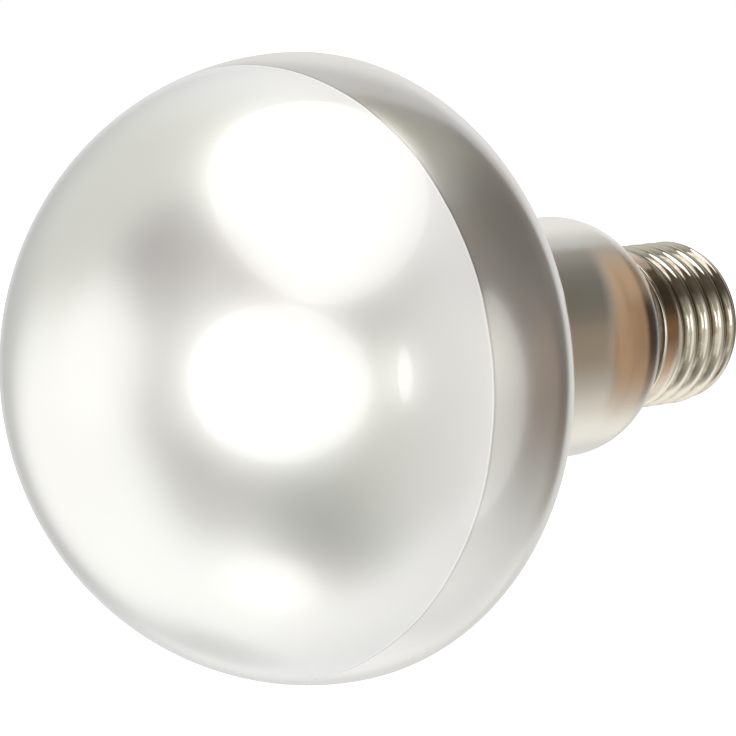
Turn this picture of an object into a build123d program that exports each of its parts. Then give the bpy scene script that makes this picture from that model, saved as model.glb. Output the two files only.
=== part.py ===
from build123d import *
from math import atan2, cos, degrees, hypot, radians, sin, sqrt, tan
import os

# A reflector lamp with a 27 mm screw cap. The lamp's axis is the Y axis. The origin is the tip of
# the centre contact, the cap points along +Y, and the domed face looks along -Y. Every turned or
# blown form is a profile in the XY plane, with X as the radius, revolved about the Y axis.

# Driving dimensions, in millimetres and degrees

# Glass envelope
head_radius = 47.5          # widest ring of the head
dome_height = 43.75         # apex of the face ahead of the widest ring
widest_to_rim = 71.05       # widest ring to the cap's rim
rim_radius = 16.0           # arc behind the widest ring
rim_turn = 42.0             # angle that arc turns before the parabolic bowl takes over
neck_radius = 19.0
neck_root_fillet = 8.0      # hollow between bowl and neck
shoulder_radius = 9.0
shoulder_turn = 42.0        # angle the shoulder turns before the cone that enters the cap
tube_step = 0.72            # cone's radius at the cap's rim less the tube end's radius
tube_depth = 9.0            # reach of the tube end inside the cap
tube_lip = 2.0              # rounding of the tube end's edge
exhaust_radius = 2.2        # sealed-off exhaust tip
exhaust_length = 4.5
exhaust_tip = 1.8           # rounded end of the exhaust tip

# Screw shell, rolled from thin brass
thread_major = 26.2         # crest diameter
thread_minor = 24.3         # root diameter
thread_pitch = 3.629        # seven turns to the inch
full_turns = 3.5            # turns at full depth
runout_turns = 0.25         # turns over which the thread rises and fades
thread_start = 0.2          # turns from straight up, towards +X, to where the thread rises
shell_wall = 0.3
skirt_length = 4.4          # rim to the start of the thread
bead_radius = 0.45          # section of the rolled rim
bead_reach = 13.35          # outer radius of the rolled rim
collar_length = 0.5         # plain ring between thread and closing cone
cone_length = 2.6
cone_edge = 0.8             # rounding where the collar turns into the cone
end_hole_radius = 8.6       # opening that the insulator fills

# Insulator, contact and solder
insulator_depth = 1.8       # insulator inside the shell's end
insulator_rise = 2.8        # insulator outside the shell's end
insulator_top_radius = 6.2
lead_hole_radius = 0.9
contact_radius = 5.2
contact_thickness = 0.5
contact_edge = 0.25         # rounding of the contact's edge
solder_radius = 2.9
solder_height = 1.1
solder_flat_radius = 1.5    # flat worn on the solder tip by the holder's tongue

# Cement and leads
cement_wall = 0.8           # cement between glass and skirt at the rim
cement_front = 0.3          # cement standing ahead of the rim, against the glass
cement_depth = 3.8          # cement inside the skirt
lead_radius = 0.25
lead_clearance = 0.1        # lead to whatever it passes
lead_offset = 4.0           # centre lead beside the exhaust tip
side_lead_offset = 6.0      # side lead's foot on the tube end
lead_bend = 1.5
rim_bend = 0.4              # bends of the side lead over the rolled rim
side_drop_radius = 1.6      # solder drop on the skirt

ring_tolerance = 0.01       # how near an edge lies to the place it is picked by

# Derived places along the axis, measured from the cap's rim towards the contact

thread_mean_radius = (thread_major + thread_minor) / 4
thread_throw = (thread_major - thread_minor) / 4
runout_height = runout_turns * thread_pitch
full_height = full_turns * thread_pitch
thread_end = skirt_length + full_height + 2 * runout_height
cone_start = thread_end + collar_length
cone_end = cone_start + cone_length
insulator_top = cone_end + insulator_rise
contact_top = insulator_top + contact_thickness
cap_length = contact_top + solder_height

skirt_bore = thread_mean_radius - shell_wall
thread_bore = thread_minor / 2 - shell_wall
cone_slope = cone_length / (thread_mean_radius - end_hole_radius)
cone_wall = shell_wall * hypot(1, cone_slope)
bead_centre = bead_reach - bead_radius


def at(radius, from_rim):
    """Profile point at a radius and a distance from the cap's rim towards the contact."""
    return (radius, from_rim - cap_length)


def quarter_ellipse(start, corner, end):
    """Quarter of an ellipse, tangent to the two sides that meet at the corner."""
    return Bezier(start, corner, end, weights=[1, sqrt(0.5), 1])


def rings_at(piece, from_rim):
    """A piece's circular edges at a distance from the cap's rim."""
    rings = piece.edges().filter_by(GeomType.CIRCLE)
    return rings.filter_by(lambda ring: abs(ring.center().Y - at(0, from_rim)[1]) < ring_tolerance)


def inner_cone_radius(from_rim):
    """Radius of the closing cone's inner face at a distance from the cap's rim."""
    return thread_mean_radius - (from_rim - cone_start + cone_wall) / cone_slope


def inner_cone_place(radius):
    """Distance from the cap's rim at which the closing cone's inner face has a radius."""
    return cone_start - cone_wall + cone_slope * (thread_mean_radius - radius)


# Glass envelope: an elliptical face, an arc behind the widest ring, a parabolic bowl, a straight
# neck, and a rounded shoulder whose cone enters the cap and ends in a tube with its exhaust tip

rim_end_radius = head_radius - rim_radius * (1 - cos(radians(rim_turn)))
rim_end = -widest_to_rim + rim_radius * sin(radians(rim_turn))
focal_length = rim_end_radius * tan(radians(rim_turn)) / 2
bowl_vertex = rim_end + rim_end_radius**2 / (4 * focal_length)
bowl_end = bowl_vertex - neck_radius**2 / (4 * focal_length)
bowl_control = bowl_vertex - rim_end_radius * neck_radius / (4 * focal_length)

entry_radius = skirt_bore - cement_wall
shoulder_end_radius = neck_radius - shoulder_radius * (1 - cos(radians(shoulder_turn)))
shoulder_end = (entry_radius - shoulder_end_radius) / tan(radians(shoulder_turn))
neck_end = shoulder_end - shoulder_radius * sin(radians(shoulder_turn))
tube_radius = entry_radius - tube_step
tube_start = tube_step / tan(radians(shoulder_turn))
exhaust_end = tube_depth + exhaust_length
face_apex = -widest_to_rim - dome_height

with BuildPart() as glass_envelope:
    with BuildSketch(Plane.XY):
        with BuildLine():
            quarter_ellipse(
                at(0, face_apex),
                at(head_radius, face_apex),
                at(head_radius, -widest_to_rim),
            )
            CenterArc(at(head_radius - rim_radius, -widest_to_rim), rim_radius, 0, rim_turn)
            Bezier(
                at(rim_end_radius, rim_end),
                at((rim_end_radius + neck_radius) / 2, bowl_control),
                at(neck_radius, bowl_end),
            )
            Line(at(neck_radius, bowl_end), at(neck_radius, neck_end))
            shoulder_centre = at(neck_radius - shoulder_radius, neck_end)
            CenterArc(shoulder_centre, shoulder_radius, 0, shoulder_turn)
            Polyline(
                at(shoulder_end_radius, shoulder_end),
                at(tube_radius, tube_start),
                at(tube_radius, tube_depth),
                at(exhaust_radius, tube_depth),
                at(exhaust_radius, exhaust_end - exhaust_tip),
            )
            quarter_ellipse(
                at(exhaust_radius, exhaust_end - exhaust_tip),
                at(exhaust_radius, exhaust_end),
                at(0, exhaust_end),
            )
            Line(at(0, exhaust_end), at(0, face_apex))
        make_face()
    revolve(axis=Axis.Y)
    neck_root = rings_at(glass_envelope, bowl_end)
    fillet(neck_root, neck_root_fillet)
    tube_edge = rings_at(glass_envelope, tube_depth).sort_by(SortBy.RADIUS)[-1]
    fillet(tube_edge, tube_lip)

# Screw shell: the round thread is the solid that a circle sweeps when it stays square to the axis
# while its centre runs once round the axis for each pitch. The centre starts and ends on the axis,
# so that the thread rises out of the plain skirt and fades into the collar.

runout_taper = degrees(atan2(thread_throw, runout_height))


def centre_run(start, height, throw, taper, turns_before):
    """Stretch of the circle centre's helix, turned on from the thread's start by the turns before."""
    pitch = thread_pitch / cos(radians(taper))
    foot = (0, start - cap_length, 0)
    stretch = Helix(pitch, height, throw, foot, (0, 1, 0), taper, mode=Mode.PRIVATE)
    return stretch.rotate(Axis.Y, 360 * (thread_start + turns_before))


full_start = skirt_length + runout_height
fade_start = full_start + full_height
fade_turns = runout_turns + full_turns

with BuildLine() as centre_path:
    Line(at(0, bead_radius), at(0, skirt_length))
    add(centre_run(skirt_length, runout_height, 0, runout_taper, 0))
    add(centre_run(full_start, full_height, thread_throw, 0, runout_turns))
    add(centre_run(fade_start, runout_height, thread_throw, -runout_taper, fade_turns))
    Line(at(0, thread_end), at(0, cone_start))

with BuildPart() as screw_shell:
    with BuildSketch(Plane.XZ.offset(cap_length - bead_radius)):
        Circle(thread_mean_radius)
    sweep(path=centre_path.wire(), normal=(0, 1, 0))
    with BuildSketch(Plane.XY):
        with BuildLine():
            Polyline(
                at(0, cone_start),
                at(thread_mean_radius, cone_start),
                at(end_hole_radius, cone_end),
                at(0, cone_end),
                close=True,
            )
        make_face()
    revolve(axis=Axis.Y)
    fillet(rings_at(screw_shell, cone_start), cone_edge)
    with BuildSketch(Plane.XY):
        with Locations(at(bead_centre, bead_radius)):
            Circle(bead_radius)
    revolve(axis=Axis.Y)
    with BuildSketch(Plane.XY):
        with BuildLine():
            Polyline(
                at(0, 0),
                at(skirt_bore, 0),
                at(skirt_bore, skirt_length - shell_wall),
                at(thread_bore, skirt_length),
                at(thread_bore, inner_cone_place(thread_bore)),
                at(end_hole_radius, cone_end - cone_wall),
                at(end_hole_radius, cone_end),
                at(0, cone_end),
                close=True,
            )
        make_face()
    revolve(axis=Axis.Y, mode=Mode.SUBTRACT)

# Insulator: black glass that fills the shell's cone and stands out of its end

insulator_start = cone_end - insulator_depth

with BuildPart() as cap_insulator:
    with BuildSketch(Plane.XY):
        with BuildLine():
            Polyline(
                at(lead_hole_radius, insulator_start),
                at(inner_cone_radius(insulator_start), insulator_start),
                at(end_hole_radius, cone_end - cone_wall),
                at(end_hole_radius, cone_end),
                at(insulator_top_radius, insulator_top),
                at(lead_hole_radius, insulator_top),
                close=True,
            )
        make_face()
    revolve(axis=Axis.Y)

# Centre contact: a flat plate with a hole for the lead

with BuildPart() as centre_contact:
    with BuildSketch(Plane.XZ.offset(-insulator_top + cap_length)):
        Circle(contact_radius)
        Circle(lead_hole_radius, mode=Mode.SUBTRACT)
    extrude(amount=-contact_thickness)
    plate_edge = centre_contact.edges().filter_by(GeomType.CIRCLE).sort_by(SortBy.RADIUS)[-2:]
    fillet(plate_edge.sort_by(Axis.Y)[-1], contact_edge)

# Leads: straight runs with rounded corners, one to the contact and one over the rolled rim

lead_gap = lead_radius + lead_clearance
lead_kink = exhaust_end + lead_gap
lead_tip = contact_top + solder_height / 2

with BuildPart() as centre_lead:
    with BuildLine() as centre_route:
        FilletPolyline(
            at(lead_offset, tube_depth),
            at(lead_offset, lead_kink),
            at(0, lead_kink + lead_offset),
            at(0, lead_tip),
            radius=lead_bend,
        )
    with BuildSketch(Plane(centre_route.wire() @ 0, z_dir=(0, 1, 0))):
        Circle(lead_radius)
    sweep(path=centre_route.wire())

lead_turn = tube_depth + 2 * lead_bend
lead_lane = thread_bore - lead_gap
drop_place = 2 * bead_radius + side_drop_radius

with BuildPart() as side_lead:
    with BuildLine() as side_route:
        FilletPolyline(
            at(-side_lead_offset, tube_depth),
            at(-side_lead_offset, lead_turn),
            at(-lead_lane, lead_turn),
            at(-lead_lane, 2 * bead_radius),
            at(bead_radius - bead_centre, -lead_gap),
            at(-bead_reach - lead_gap, -lead_gap),
            at(-bead_reach - lead_gap, drop_place),
            radius=(lead_bend, lead_bend, lead_bend / 2, rim_bend, rim_bend),
        )
    with BuildSketch(Plane(side_route.wire() @ 0, z_dir=(0, 1, 0))):
        Circle(lead_radius)
    sweep(path=side_route.wire())

# Solder: a tip on the contact with the flat that the holder's tongue bears on, and a drop on the
# skirt. Each is cast round the end of its lead.

with BuildPart() as contact_solder:
    with BuildSketch(Plane.XY):
        with BuildLine():
            quarter_ellipse(
                at(solder_radius, contact_top),
                at(solder_radius, cap_length),
                at(solder_flat_radius, cap_length),
            )
            Polyline(
                at(solder_flat_radius, cap_length),
                at(0, cap_length),
                at(0, insulator_top),
                at(lead_hole_radius, insulator_top),
                at(lead_hole_radius, contact_top),
                at(solder_radius, contact_top),
            )
        make_face()
    revolve(axis=Axis.Y)
    add(centre_lead.part, mode=Mode.SUBTRACT)

with BuildPart() as side_solder:
    with Locations(at(-thread_mean_radius, drop_place)):
        Sphere(side_drop_radius)
    with BuildSketch(Plane.XZ.offset(cap_length)):
        Circle(thread_mean_radius)
    extrude(amount=-cap_length, mode=Mode.SUBTRACT)
    add(side_lead.part, mode=Mode.SUBTRACT)

# Basing cement: fills the skirt round the tube end, and is cast round the side lead

cement_front_radius = entry_radius + cement_front * tan(radians(shoulder_turn))

with BuildPart() as basing_cement:
    with BuildSketch(Plane.XY):
        with BuildLine():
            Polyline(
                at(tube_radius, cement_depth),
                at(skirt_bore, cement_depth),
                at(skirt_bore, bead_radius),
                at(cement_front_radius, -cement_front),
                at(tube_radius, tube_start),
                close=True,
            )
        make_face()
    revolve(axis=Axis.Y)
    add(side_lead.part, mode=Mode.SUBTRACT)

# One file for each piece

glass_envelope.part.label = "glass_envelope"
screw_shell.part.label = "screw_shell"
cap_insulator.part.label = "cap_insulator"
centre_contact.part.label = "centre_contact"
centre_lead.part.label = "centre_lead"
side_lead.part.label = "side_lead"
contact_solder.part.label = "contact_solder"
side_solder.part.label = "side_solder"
basing_cement.part.label = "basing_cement"

pieces = (
    glass_envelope,
    screw_shell,
    cap_insulator,
    centre_contact,
    centre_lead,
    side_lead,
    contact_solder,
    side_solder,
    basing_cement,
)

os.makedirs("parts", exist_ok=True)
for piece in pieces:
    export_step(piece.part, f"parts/{piece.part.label}.step")
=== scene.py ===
"""Dresses the reflector lamp: frosted face, mirrored bowl and neck, and plated screw cap."""

import logging
from dataclasses import dataclass
from enum import Enum
from functools import cached_property
from math import atan2, cos, degrees, hypot, pi, radians, sin, sqrt, tan

import bmesh
import bpy
from mathutils import Matrix, Vector, noise


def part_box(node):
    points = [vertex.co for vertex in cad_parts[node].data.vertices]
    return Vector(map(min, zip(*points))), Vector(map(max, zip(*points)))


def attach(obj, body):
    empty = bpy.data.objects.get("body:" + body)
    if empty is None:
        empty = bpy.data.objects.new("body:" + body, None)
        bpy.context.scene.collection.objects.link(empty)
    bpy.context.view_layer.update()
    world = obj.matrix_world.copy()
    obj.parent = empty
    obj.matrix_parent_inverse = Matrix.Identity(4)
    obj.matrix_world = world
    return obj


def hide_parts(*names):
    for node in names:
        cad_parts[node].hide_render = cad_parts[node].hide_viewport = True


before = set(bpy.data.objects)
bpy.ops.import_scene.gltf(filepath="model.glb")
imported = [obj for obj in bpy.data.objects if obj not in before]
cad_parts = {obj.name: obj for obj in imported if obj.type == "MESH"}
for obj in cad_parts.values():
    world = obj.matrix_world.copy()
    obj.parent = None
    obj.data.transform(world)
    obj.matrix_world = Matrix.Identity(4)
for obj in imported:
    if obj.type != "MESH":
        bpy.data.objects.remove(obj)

LOG = logging.getLogger("reflector_lamp")
MM = 0.001
BODY = "root"
AXIS = Vector((0, 1, 0))
PROFILE_NORMAL = Vector((0, 0, 1))
MERGE_DISTANCE = 0.002 * MM
QUARTER_TURN = 90
HALVINGS = 40
NOISE_MEAN = 0.5

Triple = tuple[float, float, float]
Colour = Triple
Span = tuple[float, float]
Mesh = bmesh.types.BMesh
Ring = list[bmesh.types.BMEdge]
Piece = bpy.types.Object
Material = bpy.types.Material
Socket = bpy.types.NodeSocket
Input = Socket | float | Triple | Vector
Inputs = dict[str, Input]

WHITE: Colour = (1.0, 1.0, 1.0)


class Slot(Enum):
    """Names of the record's material slots, which the new pieces are not given here."""

    FROSTED_GLASS = "frosted_glass"
    PLATED_BRASS = "plated_brass"
    BLACK_GLASS = "black_glass"
    BARE_BRASS = "bare_brass"
    SOLDER = "solder"


class Reach(Enum):
    """What a softbox shines on."""

    ALL = "everything"
    ALL_BUT_CAP = "everything but the screw shell"
    CAP = "the screw shell alone"


def heading(azimuth: float, elevation: float) -> Vector:
    """Finds a direction from the lamp outwards.

    Args:
        azimuth: Degrees round Z, from -Y (0) towards +X (90).
        elevation: Degrees above the horizon.

    Returns:
        A unit vector.
    """
    a, e = radians(azimuth), radians(elevation)
    return Vector((sin(a) * cos(e), -cos(a) * cos(e), sin(e)))


class Turning:
    """A profile drawn in the XY plane, with X as the radius, that is then spun about the Y axis."""

    def __init__(self, radius: float, along: float) -> None:
        """Starts the profile.

        Args:
            radius: Distance of the first point from the axis.
            along: Place of the first point on the axis.
        """
        self.mesh = bmesh.new()
        self.tip = self.mesh.verts.new((radius, along, 0))

    def line(self, radius: float, along: float, steps: int = 1) -> None:
        """Draws a straight stretch.

        Args:
            radius: Distance of its end from the axis.
            along: Place of its end on the axis.
            steps: Number of edges.
        """
        move = (Vector((radius, along, 0)) - self.tip.co) / steps
        for _ in range(steps):
            made = bmesh.ops.extrude_vert_indiv(self.mesh, verts=[self.tip])
            self.tip = made["verts"][0]
            bmesh.ops.translate(self.mesh, verts=[self.tip], vec=move)

    def arc(self, radius: float, along: float, turn: float, steps: int, squash: float = 1) -> None:
        """Draws an arc, or a part of an ellipse.

        Args:
            radius: Distance of the arc's centre from the axis.
            along: Place of the arc's centre on the axis.
            turn: Degrees turned, from the radius towards the axis's direction.
            steps: Number of edges.
            squash: Ellipse's reach along the axis over its reach across it. The arc is drawn round
                and then squashed, with the point that it starts from.
        """
        centre = Vector((radius, along, 0))
        before = set(self.mesh.verts) - {self.tip}
        made = bmesh.ops.spin(
            self.mesh,
            geom=[self.tip],
            cent=centre,
            axis=PROFILE_NORMAL,
            angle=radians(turn),
            steps=steps,
        )
        self.tip = next(item for item in made["geom_last"] if isinstance(item, bmesh.types.BMVert))
        if squash != 1:
            drawn = [vert for vert in self.mesh.verts if vert not in before]
            back = Matrix.Translation(-centre)
            bmesh.ops.scale(self.mesh, vec=(1, squash, 1), space=back, verts=drawn)

    def spin(self, steps: int) -> Mesh:
        """Spins the profile once round the axis.

        Args:
            steps: Number of faces round the axis.

        Returns:
            The closed mesh.
        """
        bmesh.ops.spin(
            self.mesh,
            geom=self.mesh.verts[:] + self.mesh.edges[:],
            cent=(0, 0, 0),
            axis=AXIS,
            angle=2 * pi,
            steps=steps,
            use_merge=True,
        )
        return self.mesh


def extend(mesh: Mesh, ring: Ring, move: Vector, scale: float = 1) -> Ring:
    """Grows a turned wall by one band from its open end.

    Args:
        mesh: The wall's mesh.
        ring: Edges of the open end.
        move: How far the new edges lie from the old ones.
        scale: New radius over the old one.

    Returns:
        Edges of the new open end.
    """
    made = bmesh.ops.extrude_edge_only(mesh, edges=ring)["geom"]
    verts = [item for item in made if isinstance(item, bmesh.types.BMVert)]
    if scale != 1:
        bmesh.ops.scale(mesh, vec=(scale, 1, scale), verts=verts)
    bmesh.ops.translate(mesh, vec=move, verts=verts)
    new = set(verts)
    edges = [item for item in made if isinstance(item, bmesh.types.BMEdge)]
    return [edge for edge in edges if set(edge.verts) <= new]


def finish_mesh(name: str, mesh: Mesh, sharp: float) -> Piece:
    """Turns a bmesh into a smooth object at the origin.

    Args:
        name: Name of the piece.
        mesh: The bmesh, which is freed.
        sharp: Angle in degrees from which an edge stays sharp.

    Returns:
        The new object.
    """
    bmesh.ops.remove_doubles(mesh, verts=mesh.verts, dist=MERGE_DISTANCE)
    bmesh.ops.recalc_face_normals(mesh, faces=mesh.faces)
    data = bpy.data.meshes.new(name)
    mesh.to_mesh(data)
    mesh.free()
    data.shade_smooth()
    data.set_sharp_from_angle(angle=radians(sharp))
    piece = bpy.data.objects.new(name, data)
    bpy.context.scene.collection.objects.link(piece)
    return piece


def seat(piece: Piece, node: str, material: Material) -> None:
    """Dresses a piece and puts it in its solid's place.

    Args:
        piece: The finished object.
        node: The solid that it stands for.
        material: Its material.
    """
    piece.data.materials.append(material)
    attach(piece, BODY)
    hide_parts(node)
    LOG.info("%s stands for %s with %d faces", piece.name, node, len(piece.data.polygons))


class NodeGraph:
    """A node tree, with the kinds of node that the finishes and the surround share."""

    def __init__(self, tree: bpy.types.NodeTree) -> None:
        """Takes up the tree of a material or a world."""
        self.nodes = tree.nodes
        self.links = tree.links

    def find(self, kind: str) -> bpy.types.Node:
        """Returns the first node of a kind."""
        return next(node for node in self.nodes if node.type == kind)

    def feed(self, socket: Socket, value: Input) -> None:
        """Links an input to another node, or sets its number, colour or vector.

        Args:
            socket: The input.
            value: Output to link it to, or what to set it to.
        """
        if isinstance(value, Socket):
            self.links.new(value, socket)
        elif isinstance(value, tuple) and socket.type == "RGBA":
            socket.default_value = (*value, 1)
        else:
            socket.default_value = value

    def add(self, kind: str, result: str, inputs: Inputs, **settings: object) -> Socket:
        """Adds a node.

        Args:
            kind: Its type.
            result: Identifier of the output to return.
            inputs: What to feed its inputs, by their identifiers.
            settings: Properties to set on it.

        Returns:
            The output.
        """
        node = self.nodes.new(kind)
        for key, value in settings.items():
            setattr(node, key, value)
        sockets = {socket.identifier: socket for socket in node.inputs}
        for key, value in inputs.items():
            self.feed(sockets[key], value)
        return next(socket for socket in node.outputs if socket.identifier == result)

    def math(self, operation: str, first: Input, second: Input = 0.0) -> Socket:
        """Works on one or two numbers with a Math node's operation."""
        inputs = {"Value": first, "Value_001": second}
        return self.add("ShaderNodeMath", "Value", inputs, operation=operation)

    def times(self, first: Input, second: Input) -> Socket:
        """Multiplies two numbers."""
        return self.math("MULTIPLY", first, second)

    def dot(self, vector: Socket, direction: Vector) -> Socket:
        """Returns a vector's reach along a direction."""
        inputs = {"Vector": vector, "Vector_001": direction}
        return self.add("ShaderNodeVectorMath", "Value", inputs, operation="DOT_PRODUCT")

    def step(self, value: Input, span: Span, origin: float = 0.0) -> Socket:
        """Adds a smooth step.

        Args:
            value: Number to read.
            span: Where the step leaves 0 and where it reaches 1.
            origin: Where the span is measured from.

        Returns:
            A factor from 0 to 1.
        """
        start, end = origin + span[0], origin + span[1]
        inputs = {
            "Value": value,
            "From Min": min(start, end),
            "From Max": max(start, end),
            "To Min": 0.0 if start < end else 1.0,
            "To Max": 1.0 if start < end else 0.0,
        }
        return self.add("ShaderNodeMapRange", "Result", inputs, interpolation_type="SMOOTHSTEP")

    def band(self, value: Input, rise: Span, fall: Span) -> Socket:
        """Adds a smooth step up and one down again."""
        return self.times(self.step(value, rise), self.step(value, fall))

    def blend(self, factor: Input, first: Input, second: Input) -> Socket:
        """Mixes two colours by the share of the second."""
        inputs = {"Factor_Float": factor, "A_Color": first, "B_Color": second}
        return self.add("ShaderNodeMix", "Result_Color", inputs, data_type="RGBA")

    def lerp(self, factor: Input, first: Input, second: Input) -> Socket:
        """Mixes two numbers by the share of the second."""
        inputs = {"Factor_Float": factor, "A_Float": first, "B_Float": second}
        return self.add("ShaderNodeMix", "Result_Float", inputs, data_type="FLOAT")


@dataclass(frozen=True)
class Cloud:
    """A soft noise: the size of its patches, its finer layers, where a patch starts and where it is
    full, and how each axis is scaled before it is read."""

    size: float
    detail: float = 2.0
    span: Span = (0.0, 1.0)
    stretch: Triple | None = None


class Shading(NodeGraph):
    """A material of one Principled shader, patterned by the object's own coordinates."""

    def __init__(self, name: str) -> None:
        """Starts the material.

        Args:
            name: Name of the material.
        """
        self.material = bpy.data.materials.new(name)
        self.material.use_nodes = True
        super().__init__(self.material.node_tree)
        self.shader = self.find("BSDF_PRINCIPLED")
        self.place = self.add("ShaderNodeTexCoord", "Object", {})

    def set(self, **inputs: Input) -> None:
        """Feeds the shader's inputs, named with underscores for spaces."""
        for key, value in inputs.items():
            self.feed(self.shader.inputs[key.replace("_", " ")], value)

    def part(self, axis: str) -> Socket:
        """Returns the place on one axis of the object."""
        return self.add("ShaderNodeSeparateXYZ", axis, {"Vector": self.place})

    @cached_property
    def along(self) -> Socket:
        """Place on the lamp's axis."""
        return self.part("Y")

    @cached_property
    def height(self) -> Socket:
        """Height over the lamp's axis."""
        return self.part("Z")

    def stretch(self, scale: Triple) -> Socket:
        """Returns the object coordinates with each axis scaled."""
        return self.add("ShaderNodeMapping", "Vector", {"Vector": self.place, "Scale": scale})

    def off_axis(self) -> Socket:
        """Returns the distance from the lamp's axis."""
        inputs = {"Vector": self.stretch((1, 0, 1))}
        return self.add("ShaderNodeVectorMath", "Value", inputs, operation="LENGTH")

    def around(self, angle: float) -> Socket:
        """Returns the cosine of the turn round the lamp's axis, from an angle in degrees above +X."""
        towards = Vector((cos(radians(angle)), 0, sin(radians(angle))))
        return self.math("DIVIDE", self.dot(self.place, towards), self.off_axis())

    def past(self, edge: float, fade: Span) -> Socket:
        """Returns a factor that grows over a span measured from an edge on the lamp's axis."""
        return self.step(self.along, fade, edge)

    def cloud(self, cloud: Cloud) -> Socket:
        """Adds a soft noise.

        Args:
            cloud: What it is like.

        Returns:
            A value about the noise's mean.
        """
        place = self.stretch(cloud.stretch) if cloud.stretch else self.place
        inputs = {"Vector": place, "Scale": 1 / cloud.size, "Detail": cloud.detail}
        return self.add("ShaderNodeTexNoise", "Fac", inputs)

    def patches(self, cloud: Cloud) -> Socket:
        """Turns a soft noise into patches, as a factor from 0 to 1."""
        return self.step(self.cloud(cloud), cloud.span)

    def waver(self, cloud: Cloud, spread: float) -> Socket:
        """Turns a soft noise into a small change about zero."""
        return self.times(self.math("SUBTRACT", self.cloud(cloud), NOISE_MEAN), spread)

    def relief(self, height: Socket, depth: float) -> Socket:
        """Returns the normal that a height from 0 to 1 bends, where 1 is as high as the depth."""
        return self.add("ShaderNodeBump", "Normal", {"Height": height, "Distance": depth})


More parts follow.
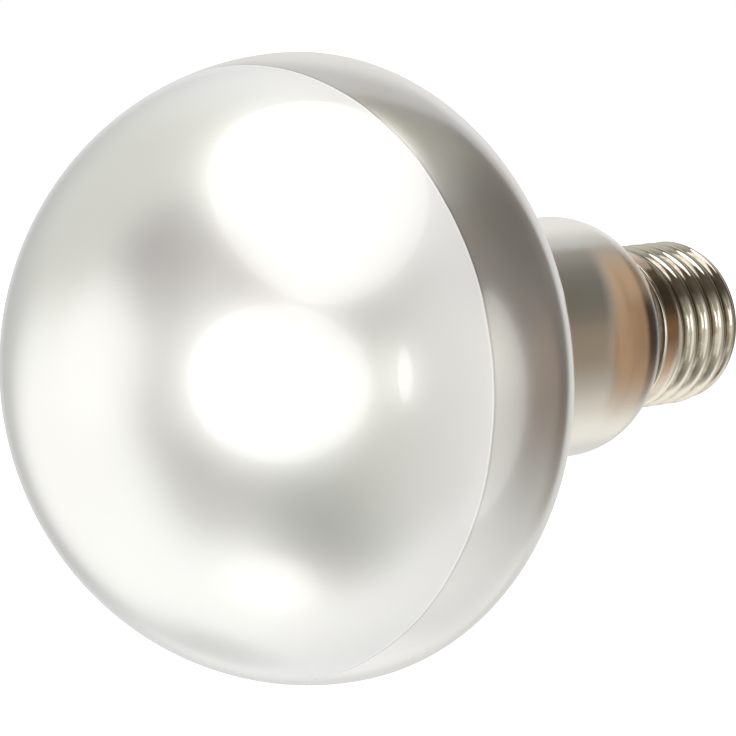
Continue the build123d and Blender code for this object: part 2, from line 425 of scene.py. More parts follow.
@dataclass(frozen=True)
class MirroredGlass:
    """Blown glass with a frosted face, an aluminised rim, bowl and neck, and a bare end at the cap."""

    # Places on the axis that the finish starts from
    face_edge: float
    neck_edge: float
    cap_shade_edge: float

    # Frosted face, with a painted glint along its edge
    pearl: Colour = (0.90, 0.905, 0.88)
    cream: Colour = (0.88, 0.87, 0.84)
    face_clouds: Cloud = Cloud(40 * MM, span=(0.35, 0.65))
    frost_edge_glint: Colour = (0.97, 0.97, 0.95)
    frost_edge_glint_fade: Span = (-0.45 * MM, -0.2 * MM)
    frost_fade: Span = (-20 * MM, -1 * MM)

    # Mirror, with a painted dark line at its edge, painted shade on one side of the rim, and an olive
    # neck painted lighter on top as a reflection
    silver: Colour = (0.86, 0.85, 0.82)
    smoke: Colour = (0.79, 0.74, 0.66)
    smoke_clouds: Cloud = Cloud(26 * MM, 3.0, span=(0.38, 0.68))
    coat_fade: Span = (-0.08 * MM, 0.08 * MM)
    coat_edge_shade: Colour = (0.40, 0.39, 0.35)
    coat_edge_shade_fade: Span = (0.45 * MM, 0.2 * MM)
    coat_edge_shade_strength: float = 0.4
    side_shade: Colour = (0.69, 0.68, 0.655)
    side_shade_angle: float = -24
    side_shade_cosines: Span = (0.83, 0.95)
    side_shade_fade: Span = (17 * MM, 7 * MM)
    olive: Colour = (0.80, 0.755, 0.64)
    painted_neck_light: Colour = (0.97, 0.95, 0.88)
    painted_neck_light_heights: Span = (8 * MM, 15 * MM)
    neck_tint_fade: Span = (-24 * MM, -10 * MM)

    # Bare glass at the end of the neck, streaked, painted lighter above as a reflection and painted
    # with shade at the cap
    bare_fade: Span = (-3.6 * MM, 1.0 * MM)
    bare_lean: float = -0.25
    bare_bottom: Span = (-14 * MM, -4 * MM)
    bare_top: Span = (17.5 * MM, 11 * MM)
    amber: Colour = (0.62, 0.40, 0.23)
    umber: Colour = (0.36, 0.21, 0.11)
    streaks: Cloud = Cloud(9 * MM, span=(0.45, 0.90), stretch=(0.5, 2.2, 0.5))
    peach: Colour = (0.86, 0.62, 0.42)
    painted_top_light_heights: Span = (2 * MM, 12 * MM)
    painted_top_light_strength: float = 0.6
    cap_shade_bottom: Span = (-7 * MM, 1 * MM)
    cap_shade_top: Span = (9 * MM, 5 * MM)
    brown_fade: Span = (-5.5 * MM, -1.5 * MM)
    brown_range: Span = (0.1, 0.55)
    cap_shade: Colour = (0.06, 0.042, 0.03)
    cap_shade_fade: Span = (-0.7 * MM, 0.7 * MM)
    cap_shade_range: Span = (0.45, 1.0)

    # Shine and relief
    face_metal: float = 0.80
    face_edge_metal: float = 0.20
    mirror_metal: float = 0.82
    bare_metal: float = 0.25
    face_roughness: float = 0.30
    mirror_roughness: float = 0.22
    bare_roughness: float = 0.26
    mottle: Cloud = Cloud(7 * MM, 4.0)
    mottle_roughness: float = 0.08
    edge_waver: Cloud = Cloud(12 * MM)
    edge_sway: float = 0.5 * MM
    grain: Cloud = Cloud(0.22 * MM, 1.0)
    grain_depth: float = 0.004 * MM
    mirror_grain: float = 0.15
    ripple: Cloud = Cloud(18 * MM, 1.0)
    ripple_depth: float = 0.05 * MM
    coat_roughness: float = 0.03
    glass_index: float = 1.5

    def make(self) -> Material:
        """Makes the finish of the whole envelope.

        Returns:
            The material.
        """
        paint = Shading("mirrored_glass")
        paint.along = paint.math("ADD", paint.along, paint.waver(self.edge_waver, self.edge_sway))
        coated = paint.past(self.face_edge, self.coat_fade)
        bare = self.bare_patch(paint)

        colour = paint.blend(coated, self.face(paint), self.mirror(paint))
        colour = paint.blend(bare, colour, self.bare_end(paint))

        shine = paint.lerp(coated, self.face_roughness, self.mirror_roughness)
        shine = paint.lerp(bare, shine, self.bare_roughness)
        shine = paint.math("ADD", shine, paint.waver(self.mottle, self.mottle_roughness))

        edge = paint.past(self.face_edge, self.frost_fade)
        metal = paint.lerp(edge, self.face_metal, self.face_edge_metal)
        metal = paint.lerp(coated, metal, self.mirror_metal)
        grain = paint.times(paint.cloud(self.grain), paint.lerp(coated, 1.0, self.mirror_grain))
        paint.set(
            Base_Color=colour,
            Metallic=paint.lerp(bare, metal, self.bare_metal),
            Roughness=shine,
            Normal=paint.relief(grain, self.grain_depth),
            Coat_Weight=1.0,
            Coat_Roughness=self.coat_roughness,
            Coat_IOR=self.glass_index,
            Coat_Normal=paint.relief(paint.cloud(self.ripple), self.ripple_depth),
        )
        return paint.material

    def bare_patch(self, paint: Shading) -> Socket:
        """Finds where the coat is missing: past the neck's edge, fading over and under the neck, where
        the mirror colour stands in as a painted reflection.

        Args:
            paint: The material.

        Returns:
            A factor from 0 to 1.
        """
        lean = paint.times(paint.math("ABSOLUTE", paint.height), self.bare_lean)
        past = paint.step(paint.math("ADD", paint.along, lean), self.bare_fade, self.neck_edge)
        # Fading over and under the neck is a painted reflection, where the bare glass takes the
        # mirror's pale colour
        return paint.times(past, paint.band(paint.height, self.bare_bottom, self.bare_top))

    def face(self, paint: Shading) -> Socket:
        """Mixes pearl and cream clouds, with a painted glint line where the frosting ends.

        Args:
            paint: The material.

        Returns:
            The face's colour.
        """
        clouds = paint.blend(paint.patches(self.face_clouds), self.pearl, self.cream)
        # Painted glint: a pale line where the frosting ends
        line = paint.past(self.face_edge, self.frost_edge_glint_fade)
        return paint.blend(line, clouds, self.frost_edge_glint)

    def mirror(self, paint: Shading) -> Socket:
        """Mixes silver and smoky clouds, painted shade on one side of the rim, the neck's olive tint
        with its painted lighter top, and the coat's painted dark edge line.

        Args:
            paint: The material.

        Returns:
            The mirror's colour.
        """
        clouds = paint.blend(paint.patches(self.smoke_clouds), self.silver, self.smoke)
        # Painted shade: a darker patch on one side of the rim, near the coat's edge
        side_shade = paint.step(paint.around(self.side_shade_angle), self.side_shade_cosines)
        side_shade = paint.times(side_shade, paint.past(self.face_edge, self.side_shade_fade))
        clouds = paint.blend(side_shade, clouds, self.side_shade)
        # Painted reflection: the neck's olive tint turns pale towards the top
        neck_tint_and_light = paint.blend(paint.step(paint.height, self.painted_neck_light_heights), self.olive, self.painted_neck_light)
        clouds = paint.blend(paint.past(self.neck_edge, self.neck_tint_fade), clouds, neck_tint_and_light)
        # Painted shade: a dark line on the mirror side of the coat's edge
        line = paint.past(self.face_edge, self.coat_edge_shade_fade)
        return paint.blend(paint.times(line, self.coat_edge_shade_strength), clouds, self.coat_edge_shade)

    def bare_end(self, paint: Shading) -> Socket:
        """Mixes amber glass with dark streaks round the neck, painted lighter on top as a reflection
        and painted with shade where it enters the cap.

        Args:
            paint: The material.

        Returns:
            The bare glass's colour.
        """
        glass = paint.blend(paint.patches(self.streaks), self.amber, self.umber)
        # Painted reflection: the bare glass turns peach and lighter towards the top
        painted_top_light = paint.times(paint.step(paint.height, self.painted_top_light_heights), self.painted_top_light_strength)
        glass = paint.blend(painted_top_light, glass, self.peach)
        # Painted shade: brown, then near black, where the neck enters the cap, in a band of heights
        cap_shade_band = paint.band(paint.height, self.cap_shade_bottom, self.cap_shade_top)
        brown = paint.past(self.cap_shade_edge, self.brown_fade)
        brown = paint.times(brown, paint.lerp(cap_shade_band, *self.brown_range))
        glass = paint.blend(brown, glass, self.umber)
        end = paint.past(self.cap_shade_edge, self.cap_shade_fade)
        end = paint.times(end, paint.lerp(cap_shade_band, *self.cap_shade_range))
        return paint.blend(end, glass, self.cap_shade)


@dataclass(frozen=True)
class PlatedBrass:
    """Bright nickel on rolled brass, with dirt and painted shade in the thread's roots and a warm
    skirt.
    """

    rim: float
    skirt_end: float
    root_radius: float
    crest_radius: float
    nickel: Colour = (0.76, 0.71, 0.61)
    # Colour of the dirt and painted shade in the thread's roots
    root_dirt_and_shade_colour: Colour = (0.28, 0.23, 0.155)
    copper: Colour = (0.72, 0.42, 0.22)
    hollow_depths: Span = (0.75, 0.15)
    root_dirt_and_shade_clouds: Cloud = Cloud(1.6 * MM, 4.0, span=(0.35, 0.70))
    root_dirt_and_shade_range: Span = (0.5, 1.0)
    root_dirt_and_shade_strength: float = 0.78
    root_dirt_roughness: float = 0.10
    skirt_fade: Span = (0.0, -1.2 * MM)
    bead_fade: Span = (0.8 * MM, 1.2 * MM)
    warm_clouds: Cloud = Cloud(8 * MM, span=(0.30, 0.60))
    warm_strength: float = 0.8
    wear_clouds: Cloud = Cloud(3 * MM, 4.0)
    roughness: float = 0.07
    wear_roughness: float = 0.10
    rolling_lines: Cloud = Cloud(0.5 * MM, stretch=(0.04, 3.0, 0.04))
    rolling_depth: float = 0.003 * MM

    def make(self) -> Material:
        """Makes the finish of the screw shell.

        Returns:
            The material.
        """
        paint = Shading("nickel_on_brass")
        depth = self.crest_radius - self.root_radius
        hollow = (self.hollow_depths[0] * depth, self.hollow_depths[1] * depth)
        # Dirt and painted shade: the thread's roots are darkened in patches
        root_dirt_and_shade = paint.step(paint.off_axis(), hollow, self.root_radius)
        patchy = paint.lerp(paint.patches(self.root_dirt_and_shade_clouds), *self.root_dirt_and_shade_range)
        root_dirt_and_shade = paint.times(root_dirt_and_shade, patchy)
        skirt = paint.past(self.skirt_end, self.skirt_fade)
        skirt = paint.times(skirt, paint.past(self.rim, self.bead_fade))
        warmth = paint.times(skirt, paint.patches(self.warm_clouds))
        colour = paint.blend(paint.times(root_dirt_and_shade, self.root_dirt_and_shade_strength), self.nickel, self.root_dirt_and_shade_colour)
        colour = paint.blend(paint.times(warmth, self.warm_strength), colour, self.copper)
        wear = paint.waver(self.wear_clouds, self.wear_roughness)
        shine = paint.math("ADD", wear, self.roughness)
        paint.set(
            Base_Color=colour,
            Metallic=1.0,
            Roughness=paint.math("ADD", paint.times(root_dirt_and_shade, self.root_dirt_roughness), shine),
            Normal=paint.relief(paint.cloud(self.rolling_lines), self.rolling_depth),
        )
        return paint.material


@dataclass(frozen=True)
class SpeckledFinish:
    """A plain finish with two shades, a varied shine and a fine relief."""

    name: str
    shade: Colour
    fleck: Colour
    metal: float
    roughness: float
    patch: float
    grain: float
    relief: float
    gloss: float = 0.0
    gloss_roughness: float = 0.05
    fleck_detail: float = 4.0
    fleck_span: Span = (0.35, 0.68)
    shine_patch: float = 1 / 3
    shine_detail: float = 3.0
    shine_spread: float = 0.2

    def make(self) -> Material:
        """Makes the finish.

        Returns:
            The material.
        """
        paint = Shading(self.name)
        flecks = paint.patches(Cloud(self.patch, self.fleck_detail, self.fleck_span))
        shine = Cloud(self.patch * self.shine_patch, self.shine_detail)
        paint.set(
            Base_Color=paint.blend(flecks, self.shade, self.fleck),
            Metallic=self.metal,
            Roughness=paint.math("ADD", paint.waver(shine, self.shine_spread), self.roughness),
            Normal=paint.relief(paint.cloud(Cloud(self.grain)), self.relief),
            Coat_Weight=self.gloss,
            Coat_Roughness=self.gloss_roughness,
        )
        return paint.material


BLACK_GLASS = SpeckledFinish(
    name="black_insulating_glass",
    shade=(0.012, 0.012, 0.014),
    fleck=(0.03, 0.028, 0.03),
    metal=0.0,
    roughness=0.18,
    patch=2.5 * MM,
    grain=1.2 * MM,
    relief=0.02 * MM,
    gloss=0.6,
)
CONTACT_BRASS = SpeckledFinish(
    name="contact_brass",
    shade=(0.80, 0.61, 0.31),
    fleck=(0.56, 0.40, 0.20),
    metal=1.0,
    roughness=0.26,
    patch=1.8 * MM,
    grain=0.25 * MM,
    relief=0.008 * MM,
)
GREY_SOLDER = SpeckledFinish(
    name="grey_solder",
    shade=(0.66, 0.66, 0.65),
    fleck=(0.42, 0.42, 0.43),
    metal=1.0,
    roughness=0.32,
    patch=0.9 * MM,
    grain=0.35 * MM,
    relief=0.02 * MM,
)
COPPER_WIRE = SpeckledFinish(
    name="copper_wire",
    shade=(0.74, 0.44, 0.29),
    fleck=(0.52, 0.28, 0.18),
    metal=1.0,
    roughness=0.28,
    patch=0.8 * MM,
    grain=0.15 * MM,
    relief=0.005 * MM,
)
CAP_CEMENT = SpeckledFinish(
    name="cap_cement",
    shade=(0.52, 0.43, 0.33),
    fleck=(0.36, 0.29, 0.22),
    metal=0.0,
    roughness=0.75,
    patch=0.7 * MM,
    grain=0.2 * MM,
    relief=0.05 * MM,
)


@dataclass
class GlassEnvelope:
    """Face, rim, bowl, neck, shoulder and tube end, blown as one piece."""

    apex: float
    cap_rim: float
    tube_end: float
    head_radius: float
    dome_height: float = 43.75 * MM
    rim_radius: float = 16 * MM
    rim_turn: float = 42
    neck_radius: float = 19 * MM
    neck_root_fillet: float = 8 * MM
    shoulder_radius: float = 9 * MM
    shoulder_turn: float = 42
    entry_radius: float = 11.525 * MM
    tube_step: float = 0.72 * MM
    tube_lip: float = 2 * MM
    exhaust_radius: float = 2.2 * MM
    exhaust_length: float = 4.5 * MM
    exhaust_tip: float = 1.8 * MM
    face_edge_ahead: float = 10.9 * MM
    neck_edge_ahead: float = 19.6 * MM
    # Where the painted shade at the cap starts, back from the cap's rim
    cap_shade_ahead: float = 11.5 * MM
    dome_steps: int = 96
    rim_steps: int = 28
    bowl_steps: int = 32
    fillet_steps: int = 14
    neck_steps: int = 10
    shoulder_steps: int = 20
    shoulder_run_steps: int = 4
    end_arc_steps: int = 8
    around: int = 256
    sharp: float = 30

    @classmethod
    def from_frame(cls) -> "GlassEnvelope":
        """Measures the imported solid.

        Returns:
            An envelope with the solid's reach.
        """
        low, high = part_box("glass_envelope")
        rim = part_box("screw_shell")[0].y
        reach = min(*high.xz, *(-low).xz)
        return cls(apex=low.y, cap_rim=rim, tube_end=high.y, head_radius=reach)

    @property
    def widest(self) -> float:
        """Place on the axis where the head is widest."""
        return self.apex + self.dome_height

    @property
    def rim_end(self) -> Span:
        """Radius and place on the axis where the rim runs into the bowl."""
        turn = radians(self.rim_turn)
        radius = self.head_radius - self.rim_radius * (1 - cos(turn))
        return radius, self.widest + self.rim_radius * sin(turn)

    @property
    def focus(self) -> float:
        """Focal length of the bowl's parabola, which takes up the rim's slope."""
        return self.rim_end[0] * tan(radians(self.rim_turn)) / 2

    def bowl(self, radius: float) -> float:
        """Returns the bowl's place on the axis at a radius."""
        start_radius, start = self.rim_end
        return start + (start_radius**2 - radius**2) / (4 * self.focus)

    def bowl_slope(self, radius: float) -> float:
        """Returns how far the bowl rises for each step towards the axis at a radius."""
        return radius / (2 * self.focus)

    def bowl_touch(self) -> float:
        """Finds where the hollow at the neck's root leaves the bowl.

        Returns:
            The bowl's radius there.
        """
        target = self.neck_radius + self.neck_root_fillet
        low, high = self.neck_radius, target
        for _ in range(HALVINGS):
            radius = (low + high) / 2
            slope = self.bowl_slope(radius)
            reach = radius + self.neck_root_fillet * slope / hypot(1, slope)
            low, high = (radius, high) if reach < target else (low, radius)
        return low

    def draw_head(self, outline: Turning) -> None:
        """Draws the dome, the rim, the bowl and the hollow at the neck's root.

        Args:
            outline: Profile that starts as far from the widest place as the head's radius.
        """
        dome_shape = self.dome_height / self.head_radius
        outline.arc(0, self.widest, QUARTER_TURN, self.dome_steps, squash=dome_shape)
        outline.arc(self.head_radius - self.rim_radius, self.widest, self.rim_turn, self.rim_steps)
        start, touch = self.rim_end[0], self.bowl_touch()
        for step in range(1, self.bowl_steps + 1):
            radius = start + (touch - start) * step / self.bowl_steps
            outline.line(radius, self.bowl(radius))
        slope = self.bowl_slope(touch)
        hollow = self.bowl(touch) + self.neck_root_fillet / hypot(1, slope)
        turn = degrees(atan2(1, slope))
        outline.arc(self.neck_radius + self.neck_root_fillet, hollow, -turn, self.fillet_steps)

    def draw_neck(self, outline: Turning) -> None:
        """Draws the neck, the shoulder, the tube end and its exhaust tip.

        Args:
            outline: Profile that has reached the neck.
        """
        turn = radians(self.shoulder_turn)
        shoulder_centre = self.neck_radius - self.shoulder_radius
        shoulder_end_radius = shoulder_centre + self.shoulder_radius * cos(turn)
        shoulder_end = self.cap_rim + (self.entry_radius - shoulder_end_radius) / tan(turn)
        neck_end = shoulder_end - self.shoulder_radius * sin(turn)
        tube_radius = self.entry_radius - self.tube_step
        tube_start = self.cap_rim + self.tube_step / tan(turn)
        tube_face = self.tube_end - self.exhaust_length
        lip = tube_face - self.tube_lip
        tip = self.tube_end - self.exhaust_tip
        tip_shape = self.exhaust_tip / self.exhaust_radius

        outline.line(self.neck_radius, neck_end, self.neck_steps)
        outline.arc(shoulder_centre, neck_end, self.shoulder_turn, self.shoulder_steps)
        outline.line(tube_radius, tube_start, self.shoulder_run_steps)
        outline.line(tube_radius, lip)
        outline.arc(tube_radius - self.tube_lip, lip, QUARTER_TURN, self.end_arc_steps)
        outline.line(self.exhaust_radius, tube_face)
        outline.line(self.exhaust_radius, tip)
        outline.arc(0, tip, QUARTER_TURN, self.end_arc_steps, squash=tip_shape)

    def build(self) -> Piece:
        """Models the envelope.

        Returns:
            Its mesh object.
        """
        outline = Turning(0, self.widest - self.head_radius)
        self.draw_head(outline)
        self.draw_neck(outline)
        return finish_mesh("envelope", outline.spin(self.around), self.sharp)

    def dress(self, piece: Piece) -> None:
        """Gives the envelope its glass.

        Args:
            piece: The envelope's mesh object.
        """
        glass = MirroredGlass(
            face_edge=self.widest - self.face_edge_ahead,
            neck_edge=self.cap_rim - self.neck_edge_ahead,
            cap_shade_edge=self.cap_rim - self.cap_shade_ahead,
        )
        seat(piece, "glass_envelope", glass.make())


@dataclass
class ScrewShell:
    """Rim bead, plain skirt, rolled thread, collar and closing cone of the cap."""

    rim: float
    end: float
    bead_reach: float
    bead_radius: float = 0.45 * MM
    mean_radius: float = 12.625 * MM
    throw: float = 0.475 * MM
    pitch: float = 3.629 * MM
    full_turns: float = 3.5
    runout_turns: float = 0.25
    start_turn: float = 0.2
    wall: float = 0.3 * MM
    skirt_length: float = 4.4 * MM
    collar_length: float = 0.5 * MM
    cone_edge: float = 0.8 * MM
    end_hole_radius: float = 8.6 * MM
    bead_steps: int = 28
    skirt_steps: int = 5
    cone_edge_steps: int = 8
    steps_per_turn: int = 32
    around: int = 192
    sharp: float = 35

    @classmethod
    def from_frame(cls) -> "ScrewShell":
        """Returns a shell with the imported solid's reach."""
        low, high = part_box("screw_shell")
        return cls(rim=low.y, end=high.y, bead_reach=high.x)

    @property
    def skirt_end(self) -> float:
        """Place on the axis where the thread starts."""
        return self.rim + self.skirt_length

    @property
    def turns(self) -> float:
        """Turns of the thread with its run-in and its run-out."""
        return self.full_turns + 2 * self.runout_turns

    @property
    def thread_end(self) -> float:
        """Place on the axis where the thread fades into the collar."""
        return self.skirt_end + self.turns * self.pitch

    @property
    def cone_slope(self) -> float:
        """Rise of the closing cone for each step towards the axis."""
        rise = self.end - self.thread_end - self.collar_length
        return rise / (self.mean_radius - self.end_hole_radius)

    @property
    def cone_wall(self) -> float:
        """The closing cone's wall, measured along the axis."""
        return self.wall * hypot(1, self.cone_slope)

    def front(self) -> Mesh:
        """Turns the bore, the rim bead and the skirt.

        Returns:
            A mesh that is open where the thread starts.
        """
        skirt_bore = self.mean_radius - self.wall
        thread_bore = skirt_bore - self.throw
        inner_end = self.end - self.cone_wall
        cone_start = inner_end - self.cone_slope * (thread_bore - self.end_hole_radius)
        bead_centre = self.bead_reach - self.bead_radius
        bead_place = self.rim + self.bead_radius
        inset = bead_centre - self.mean_radius
        lift = sqrt(self.bead_radius**2 - inset**2)
        bead_turn = 4 * QUARTER_TURN - degrees(atan2(lift, inset))

        outline = Turning(self.end_hole_radius, inner_end)
        outline.line(thread_bore, cone_start)
        outline.line(thread_bore, self.skirt_end)
        outline.line(skirt_bore, self.skirt_end - self.wall)
        outline.line(skirt_bore, bead_place)
        outline.line(bead_centre - self.bead_radius, bead_place)
        outline.arc(bead_centre, bead_place, bead_turn, self.bead_steps)
        outline.line(self.mean_radius, self.skirt_end, self.skirt_steps)
        return outline.spin(self.around)

    def roll(self, ring: Ring, turn: float) -> None:
        """Presses the thread into a ring of the shell.

        Args:
            ring: Edges of the ring.
            turn: Turns from the thread's start.
        """
        fade = min(1, turn / self.runout_turns, (self.turns - turn) / self.runout_turns)
        for vert in {vert for edge in ring for vert in edge.verts}:
            angle = atan2(vert.co.x, vert.co.z)
            past_crest = 2 * pi * (self.start_turn + turn) - angle
            radius = self.mean_radius + fade * self.throw * cos(past_crest)
            vert.co.x, vert.co.z = radius * sin(angle), radius * cos(angle)

    def close(self, mesh: Mesh, ring: Ring) -> None:
        """Adds the collar, the cone with its rounded edge, and the end hole's wall.

        Args:
            mesh: The shell's mesh.
            ring: Edges of the thread's open end.
        """
        turn = atan2(1, self.cone_slope)
        arc_start = self.thread_end + self.collar_length - self.cone_edge * tan(turn / 2)
        stations = []
        for step in range(self.cone_edge_steps + 1):
            angle = turn * step / self.cone_edge_steps
            radius = self.mean_radius - self.cone_edge * (1 - cos(angle))
            stations.append((radius, arc_start + self.cone_edge * sin(angle)))
        stations.append((self.end_hole_radius, self.end))
        stations.append((self.end_hole_radius, self.end - self.cone_wall))
        radius, place = self.mean_radius, self.thread_end
        for next_radius, next_place in stations:
            ring = extend(mesh, ring, AXIS * (next_place - place), next_radius / radius)
            radius, place = next_radius, next_place

    def build(self) -> Piece:
        """Models the shell, with its thread grown ring by ring from the skirt's open edge.

        Returns:
            Its mesh object.
        """
        mesh = self.front()
        bmesh.ops.remove_doubles(mesh, verts=mesh.verts, dist=MERGE_DISTANCE)
        outer = self.mean_radius - self.wall / 2
        ring = [
            edge
            for edge in mesh.edges
            if edge.is_boundary and all(vert.co.xz.length > outer for vert in edge.verts)
        ]
        count = round(self.turns * self.steps_per_turn)
        rise = AXIS * (self.turns * self.pitch / count)
        for step in range(1, count + 1):
            ring = extend(mesh, ring, rise)
            self.roll(ring, step * self.turns / count)
        self.close(mesh, ring)
        return finish_mesh("cap_shell", mesh, self.sharp)

    def dress(self, piece: Piece) -> None:
        """Gives the shell its plating.

        Args:
            piece: The shell's mesh object.
        """
        plating = PlatedBrass(
            rim=self.rim,
            skirt_end=self.skirt_end,
            root_radius=self.mean_radius - self.throw,
            crest_radius=self.mean_radius + self.throw,
        )
        seat(piece, "screw_shell", plating.make())


@dataclass
class CapFittings:
    """Insulator, centre contact and solder tip at the end of the cap, and the leads, the side solder
    and the cement, which keep their solids."""

    shell: ScrewShell
    hole_radius: float = 0.9 * MM
    button_radius: float = 6.2 * MM
    button_edge: float = 0.5 * MM
    contact_edge: float = 0.25 * MM
    solder_flat_radius: float = 1.5 * MM
    solder_wander: float = 0.12 * MM
    solder_lump: float = 1.1 * MM
    top_steps: int = 6
    button_edge_steps: int = 8
    contact_edge_steps: int = 6
    solder_steps: int = 16
    around: int = 128
    solder_around: int = 96
    sharp: float = 25
    solder_sharp: float = 50

    def insulator(self) -> Piece:
        """Models the black glass button with its edge fused round.

        Returns:
            Its mesh object.
        """
        low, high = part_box("cap_insulator")
        hole, end = self.shell.end_hole_radius, self.shell.end
        turn = atan2(high.y - end, hole - self.button_radius)
        tangent = self.button_edge * tan(turn / 2)
        flank_radius = self.button_radius + tangent * cos(turn)
        edge_radius, edge = self.button_radius - tangent, high.y - self.button_edge
        outline = Turning(self.hole_radius, low.y)
        outline.line(high.x, low.y)
        outline.line(hole, end - self.shell.cone_wall)
        outline.line(hole, end)
        outline.line(flank_radius, high.y - tangent * sin(turn), self.top_steps)
        outline.arc(edge_radius, edge, degrees(turn), self.button_edge_steps)
        outline.line(self.hole_radius, high.y, self.top_steps)
        outline.line(self.hole_radius, low.y)
        return finish_mesh("insulator", outline.spin(self.around), self.sharp)

    def contact(self) -> Piece:
        """Models the contact plate.

        Returns:
            Its mesh object.
        """
        low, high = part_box("centre_contact")
        edge_radius, edge = high.x - self.contact_edge, high.y - self.contact_edge
        outline = Turning(self.hole_radius, low.y)
        outline.line(high.x, low.y)
        outline.line(high.x, edge)
        outline.arc(edge_radius, edge, QUARTER_TURN, self.contact_edge_steps)
        outline.line(self.hole_radius, high.y, self.top_steps)
        outline.line(self.hole_radius, low.y)
        return finish_mesh("contact_plate", outline.spin(self.around), self.sharp)

    def solder(self) -> Piece:
        """Models the solder tip with its plug, a little uneven as a hand-made drop is.

        Returns:
            Its mesh object.
        """
        low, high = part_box("contact_solder")
        plate_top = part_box("centre_contact")[1].y
        curve = (high.y - plate_top) / (high.x - self.solder_flat_radius)
        outline = Turning(0, low.y)
        outline.line(self.hole_radius, low.y)
        outline.line(self.hole_radius, plate_top)
        outline.line(high.x, plate_top)
        outline.arc(self.solder_flat_radius, plate_top, QUARTER_TURN, self.solder_steps, squash=curve)
        outline.line(0, high.y, self.top_steps)
        mesh = outline.spin(self.solder_around)
        for vert in mesh.verts:
            rise = (vert.co.y - plate_top) / (high.y - plate_top)
            if 0 < rise < 1:
                swell = 0.5 + 0.5 * noise.noise(vert.co / self.solder_lump)
                across = Vector((vert.co.x, 0, vert.co.z)).normalized()
                vert.co -= across * self.solder_wander * swell * 4 * rise * (1 - rise)
        return finish_mesh("tip_solder", mesh, self.solder_sharp)

    def build(self) -> dict[str, Piece]:
        """Models the pieces.

        Returns:
            Mesh objects by the solid that each stands for.
        """
        return {
            "cap_insulator": self.insulator(),
            "centre_contact": self.contact(),
            "contact_solder": self.solder(),
        }

    def dress(self, pieces: dict[str, Piece]) -> None:
        """Gives the pieces and the kept solids their finishes.

        Args:
            pieces: Mesh objects by the solid that each stands for.
        """
        solder, copper = GREY_SOLDER.make(), COPPER_WIRE.make()
        seat(pieces["cap_insulator"], "cap_insulator", BLACK_GLASS.make())
        seat(pieces["centre_contact"], "centre_contact", CONTACT_BRASS.make())
        seat(pieces["contact_solder"], "contact_solder", solder)
        kept = {
            "side_solder": solder,
            "side_lead": copper,
            "centre_lead": copper,
            "basing_cement": CAP_CEMENT.make(),
        }
        for node, material in kept.items():
            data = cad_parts[node].data
            data.materials.clear()
            data.materials.append(material)
            LOG.info("%s keeps its solid", node)


@dataclass
class PhotoCamera:
    """The camera at the photograph's place, in metres and degrees, with its lens in millimetres."""

    azimuth: float = 40.907
    elevation: float = 6.43
    distance: float = 870 * MM
    aim: Triple = (-12.64 * MM, -68.31 * MM, -3.31 * MM)
    lens: float = 273.9
    sensor: float = 36.0

    def build(self) -> None:
        """Makes the camera and the scene's view of it."""
        data = bpy.data.cameras.new("photo_camera")
        data.lens = self.lens
        data.sensor_width = self.sensor
        camera = bpy.data.objects.new("photo_camera", data)
        back = heading(self.azimuth, self.elevation)
        camera.location = Vector(self.aim) + back * self.distance
        camera.rotation_euler = (-back).to_track_quat("-Z", "Y").to_euler()
        bpy.context.scene.collection.objects.link(camera)
        bpy.context.scene.camera = camera


@dataclass(frozen=True)
class Softbox:
    """An even oval lamp that faces the head or the cap."""

    name: str
    azimuth: float
    elevation: float
    distance: float
    width: float
    height: float
    radiance: float
    reach: Reach = Reach.ALL

    @property
    def watts(self) -> float:
        """Power that gives an even oval of this size its radiance."""
        return self.radiance * pi * (pi / 4 * self.width * self.height)

    def build(self, aim: Vector, shell: Piece) -> None:
        """Makes the lamp.

        Args:
            aim: Point that it faces.
            shell: The screw shell, which some softboxes light alone or leave out.
        """
        data = bpy.data.lights.new(self.name, "AREA")
        data.shape = "ELLIPSE"
        data.size = self.width
        data.size_y = self.height
        data.energy = self.watts
        lamp = bpy.data.objects.new(self.name, data)
        out = heading(self.azimuth, self.elevation)
        lamp.location = aim + out * self.distance
        lamp.rotation_euler = out.to_track_quat("Z", "Y").to_euler()
        lamp.visible_camera = False
        bpy.context.scene.collection.objects.link(lamp)
        if self.reach is not Reach.ALL:
            group = bpy.data.collections.new(f"{self.name}_reach")
            group.objects.link(shell)
            state = "INCLUDE" if self.reach is Reach.CAP else "EXCLUDE"
            group.collection_objects[0].light_linking.link_state = state
            lamp.light_linking.receiver_collection = group


@dataclass(frozen=True)
class Wall:
    """A bright or dark side of the studio, as a round patch of the surround, in degrees."""

    name: str
    azimuth: float
    elevation: float
    half_angle: float
    softness: float
    shade: Colour

    @property
    def cosines(self) -> Span:
        """Cosines of the angles from its middle at which the patch starts and is full."""
        start, full = self.half_angle + self.softness, self.half_angle - self.softness
        return cos(radians(start)), cos(radians(full))


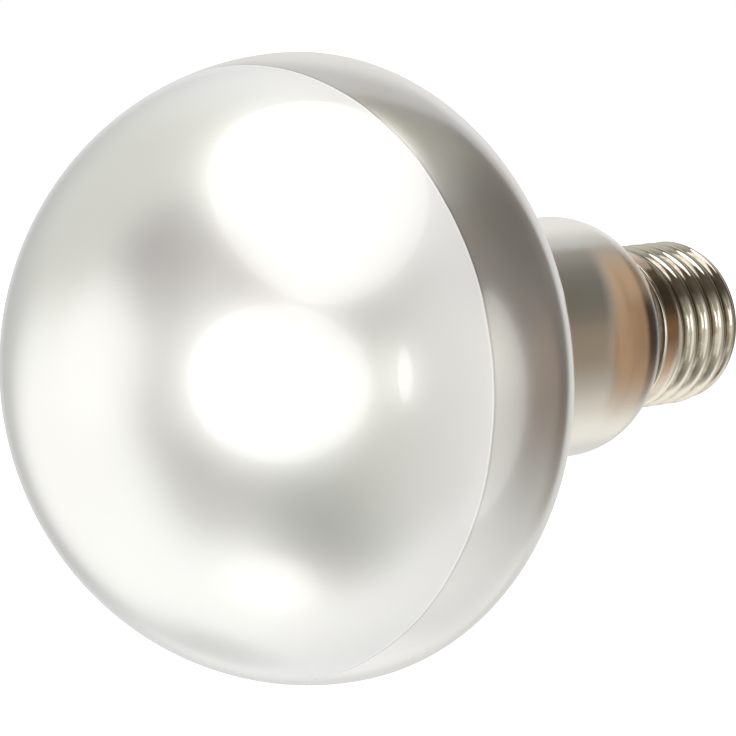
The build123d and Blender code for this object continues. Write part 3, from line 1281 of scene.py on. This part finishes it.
@dataclass
class Studio:
    """White sweep, softboxes and the dim room round them."""

    head: Triple = (0.0, -100 * MM, 0.0)
    cap: Triple = (0.0, -12 * MM, 0.0)
    floor_level: float = -150 * MM
    floor_reach: float = 3.0
    paper: Colour = (0.9, 0.9, 0.9)
    paper_roughness: float = 0.9
    paper_glow: float = 0.75
    room: Colour = (0.11, 0.09, 0.07)
    fill: Colour = (0.5, 0.5, 0.5)
    walls: tuple[Wall, ...] = (
        Wall("ceiling_back", 165, 62, 16, 10, (0.27, 0.27, 0.225)),
        Wall("back_shade", 150, 32, 13, 10, (0.05, 0.045, 0.035)),
        Wall("back_right", 141, -7, 13, 10, (0.245, 0.18, 0.13)),
        Wall("table", 0, -90, 53, 30, (1.14, 1.14, 1.12)),
        Wall("front_wall", -6, -13, 33, 12, (0.48, 0.47, 0.45)),
        Wall("front_wall_top", -10, 12, 21, 12, (0.67, 0.66, 0.63)),
        Wall("table_front", 50, -49, 24, 12, (0.33, 0.33, 0.30)),
        Wall("backdrop_top", -127, 10, 50, 3, (0.50, 0.50, 0.50)),
        Wall("sweep", -150, -45, 27, 10, (1.0, 1.0, 1.0)),
        Wall("sweep_shade", -110, -48, 9, 8, (0.62, 0.62, 0.60)),
        Wall("backdrop", -150, -6, 29, 7, (0.74, 0.74, 0.73)),
        Wall("backdrop_strip", -148, 20, 13, 9, (0.80, 0.79, 0.77)),
        Wall("ceiling_left", -70, 38, 38, 14, (0.66, 0.67, 0.62)),
        Wall("dim_corner", -33, 33, 12, 11, (0.32, 0.30, 0.30)),
        Wall("right_wall", 82, -10, 36, 14, (0.54, 0.53, 0.48)),
        Wall("left_wall", -66, -26, 34, 9, (1.16, 1.16, 1.13)),
        Wall("left_wall_top", -46, 2, 17, 8, (1.24, 1.24, 1.22)),
        Wall("table_card", -10, -71, 13, 3, (1.5, 1.5, 1.48)),
    )
    softboxes: tuple[Softbox, ...] = (
        Softbox("top_softbox", 42, 69, 0.32, 0.42, 0.59, 1.25, Reach.ALL_BUT_CAP),
        Softbox("cap_softbox", 78, 79, 0.40, 0.18, 0.31, 1.6, Reach.CAP),
        Softbox("front_softbox", 24, 0, 1.2, 1.56, 1.20, 1.2),
        Softbox("strip_lamp", 70, 2.8, 3.0, 0.30, 0.98, 2.7),
        Softbox("side_card", 106, -9, 0.155, 0.052, 0.20, 0.43),
    )

    def build(self, shell: Piece) -> None:
        """Makes the surround, the floor and the lamps.

        Args:
            shell: The screw shell, for the softboxes that treat it apart.
        """
        self.surround()
        self.floor()
        for softbox in self.softboxes:
            aim = self.cap if softbox.reach is Reach.CAP else self.head
            softbox.build(Vector(aim), shell)
        bpy.context.scene.view_settings.view_transform = "Standard"

    def surround(self) -> None:
        """Makes the world: white to the camera, walls to shiny surfaces, an even fill to the rest."""
        world = bpy.data.worlds.new("studio")
        world.use_nodes = True
        bpy.context.scene.world = world
        graph = NodeGraph(world.node_tree)
        facing = graph.add("ShaderNodeTexCoord", "Generated", {})
        shade: Input = self.room
        for wall in self.walls:
            towards = graph.dot(facing, heading(wall.azimuth, wall.elevation))
            shade = graph.blend(graph.step(towards, wall.cosines), shade, wall.shade)
            shade.node.label = wall.name
        rays = graph.nodes.new("ShaderNodeLightPath").outputs
        shiny = graph.math("MAXIMUM", rays["Is Glossy Ray"], rays["Is Transmission Ray"])
        seen = graph.blend(shiny, self.fill, shade)
        backdrop = graph.find("BACKGROUND")
        graph.feed(backdrop.inputs["Color"], graph.blend(rays["Is Camera Ray"], seen, WHITE))
        graph.feed(backdrop.inputs["Strength"], 1.0)

    def floor(self) -> None:
        """Makes the white floor, which takes the lamp's shadow."""
        mesh = bmesh.new()
        bmesh.ops.create_grid(mesh, x_segments=1, y_segments=1, size=self.floor_reach)
        bmesh.ops.translate(mesh, vec=(0, 0, self.floor_level), verts=mesh.verts)
        data = bpy.data.meshes.new("floor")
        mesh.to_mesh(data)
        mesh.free()
        sweep = bpy.data.objects.new("floor", data)
        bpy.context.scene.collection.objects.link(sweep)
        paper = Shading("white_paper")
        rays = paper.nodes.new("ShaderNodeLightPath").outputs
        shown = paper.math("MAXIMUM", rays["Is Glossy Ray"], rays["Is Transmission Ray"])
        shown = paper.math("MAXIMUM", shown, rays["Is Camera Ray"])
        paper.set(
            Base_Color=self.paper,
            Roughness=self.paper_roughness,
            Specular_IOR_Level=0.0,
            Emission_Color=WHITE,
            Emission_Strength=paper.times(shown, self.paper_glow),
        )
        data.materials.append(paper.material)
        sweep.visible_glossy = False


def main() -> None:
    """Builds the lamp's pieces, the studio and the camera."""
    logging.basicConfig(level=logging.INFO, format="%(name)s: %(message)s")
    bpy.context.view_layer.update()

    envelope = GlassEnvelope.from_frame()
    envelope.dress(envelope.build())
    shell = ScrewShell.from_frame()
    cap = shell.build()
    shell.dress(cap)
    fittings = CapFittings(shell)
    fittings.dress(fittings.build())

    Studio().build(cap)
    PhotoCamera().build()


if __name__ == "__main__":
    main()
